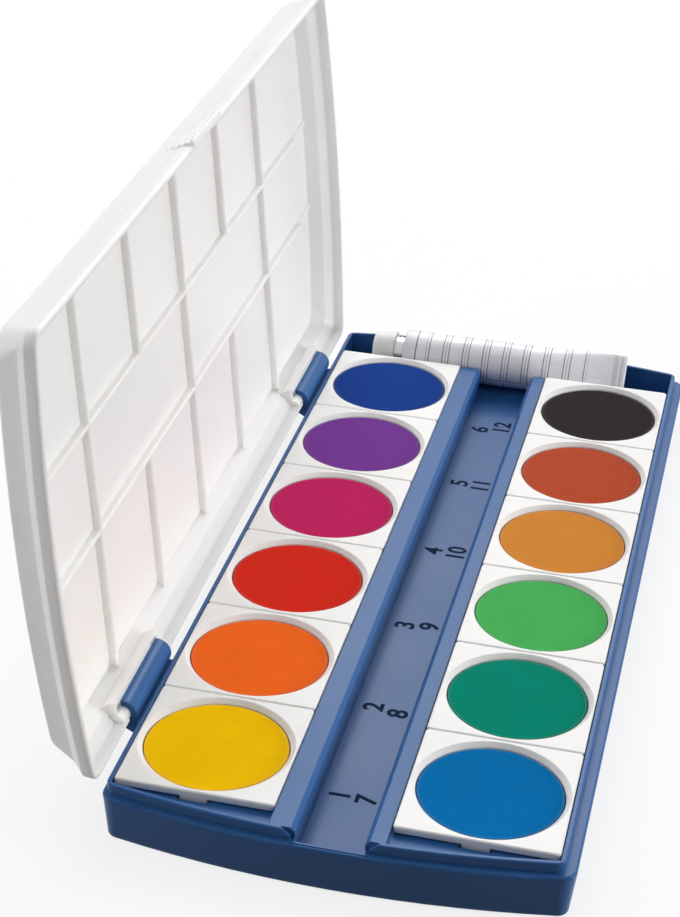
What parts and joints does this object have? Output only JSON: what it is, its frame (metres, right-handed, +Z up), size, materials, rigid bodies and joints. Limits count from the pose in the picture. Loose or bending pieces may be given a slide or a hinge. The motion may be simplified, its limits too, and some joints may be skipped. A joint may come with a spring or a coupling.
{
  "type": "gouache paint set box",
  "caption": "Hinged paint box: a blue tray with two rows of lift-out paint pans, a brush channel and a tube bay, under a deep white lid that is also a mixing palette.",
  "frame": {"origin": "on the underside of the tray, on the middle line of the brush channel and midway along the tray", "axes": "+Z up; +Y along the box, from the open mouth of the brush channel to the tube bay; the lid hinge is on the -X side, parallel to Y"},
  "size_m": [0.1159, 0.2328, 0.1124],
  "materials": {
    "tray": "satin injection-moulded polypropylene, navy blue",
    "lid": "satin injection-moulded polypropylene, white",
    "pan": "satin moulded polystyrene, white",
    "tube": "lacquered aluminium, printed white",
    "white_paste": "opaque white paint",
    "cap": "smooth white polyethylene",
    "gouache_yellow": "dry matt pressed gouache",
    "gouache_orange": "dry matt pressed gouache",
    "gouache_red": "dry matt pressed gouache",
    "gouache_magenta": "dry matt pressed gouache",
    "gouache_violet": "dry matt pressed gouache",
    "gouache_ultramarine": "dry matt pressed gouache",
    "gouache_cyan_blue": "dry matt pressed gouache",
    "gouache_blue_green": "dry matt pressed gouache",
    "gouache_yellow_green": "dry matt pressed gouache",
    "gouache_ochre": "dry matt pressed gouache",
    "gouache_sienna": "dry matt pressed gouache",
    "gouache_black": "dry matt pressed gouache"
  },
  "bodies": {
    "base": {"tray": "tray"},
    "lid": {"lid": "lid"},
    "tube": {"tube_body": "tube", "tube_paste": "white_paste"},
    "cap": {"tube_cap": "cap"},
    "pan_01": {"pan_01": "pan", "paint_01": "gouache_yellow"},
    "pan_02": {"pan_02": "pan", "paint_02": "gouache_orange"},
    "pan_03": {"pan_03": "pan", "paint_03": "gouache_red"},
    "pan_04": {"pan_04": "pan", "paint_04": "gouache_magenta"},
    "pan_05": {"pan_05": "pan", "paint_05": "gouache_violet"},
    "pan_06": {"pan_06": "pan", "paint_06": "gouache_ultramarine"},
    "pan_07": {"pan_07": "pan", "paint_07": "gouache_cyan_blue"},
    "pan_08": {"pan_08": "pan", "paint_08": "gouache_blue_green"},
    "pan_09": {"pan_09": "pan", "paint_09": "gouache_yellow_green"},
    "pan_10": {"pan_10": "pan", "paint_10": "gouache_ochre"},
    "pan_11": {"pan_11": "pan", "paint_11": "gouache_sienna"},
    "pan_12": {"pan_12": "pan", "paint_12": "gouache_black"}
  },
  "joints": [
    {"name": "lid_hinge", "type": "hinge", "parent": "base", "child": "lid", "pos_m": [-0.05125, 0, 0.0131], "axis": [0, -1, 0], "range_deg": [-95.5, 0]},
    {"name": "pan_01_lift", "type": "slide", "parent": "base", "child": "pan_01", "axis": [0, 0, 1], "range_m": [0, 0.016]},
    {"name": "pan_02_lift", "type": "slide", "parent": "base", "child": "pan_02", "axis": [0, 0, 1], "range_m": [0, 0.016]},
    {"name": "pan_03_lift", "type": "slide", "parent": "base", "child": "pan_03", "axis": [0, 0, 1], "range_m": [0, 0.016]},
    {"name": "pan_04_lift", "type": "slide", "parent": "base", "child": "pan_04", "axis": [0, 0, 1], "range_m": [0, 0.016]},
    {"name": "pan_05_lift", "type": "slide", "parent": "base", "child": "pan_05", "axis": [0, 0, 1], "range_m": [0, 0.016]},
    {"name": "pan_06_lift", "type": "slide", "parent": "base", "child": "pan_06", "axis": [0, 0, 1], "range_m": [0, 0.016]},
    {"name": "pan_07_lift", "type": "slide", "parent": "base", "child": "pan_07", "axis": [0, 0, 1], "range_m": [0, 0.016]},
    {"name": "pan_08_lift", "type": "slide", "parent": "base", "child": "pan_08", "axis": [0, 0, 1], "range_m": [0, 0.016]},
    {"name": "pan_09_lift", "type": "slide", "parent": "base", "child": "pan_09", "axis": [0, 0, 1], "range_m": [0, 0.016]},
    {"name": "pan_10_lift", "type": "slide", "parent": "base", "child": "pan_10", "axis": [0, 0, 1], "range_m": [0, 0.016]},
    {"name": "pan_11_lift", "type": "slide", "parent": "base", "child": "pan_11", "axis": [0, 0, 1], "range_m": [0, 0.016]},
    {"name": "pan_12_lift", "type": "slide", "parent": "base", "child": "pan_12", "axis": [0, 0, 1], "range_m": [0, 0.016]},
    {"name": "tube_lift", "type": "slide", "parent": "base", "child": "tube", "axis": [0, 0, 1], "range_m": [0, 0.02]},
    {"name": "cap_turn", "type": "hinge", "parent": "tube", "child": "cap", "pos_m": [-0.03305, 0.1049, 0.012], "axis": [-1, 0, 0], "range_deg": [0, 720]}
  ]
}
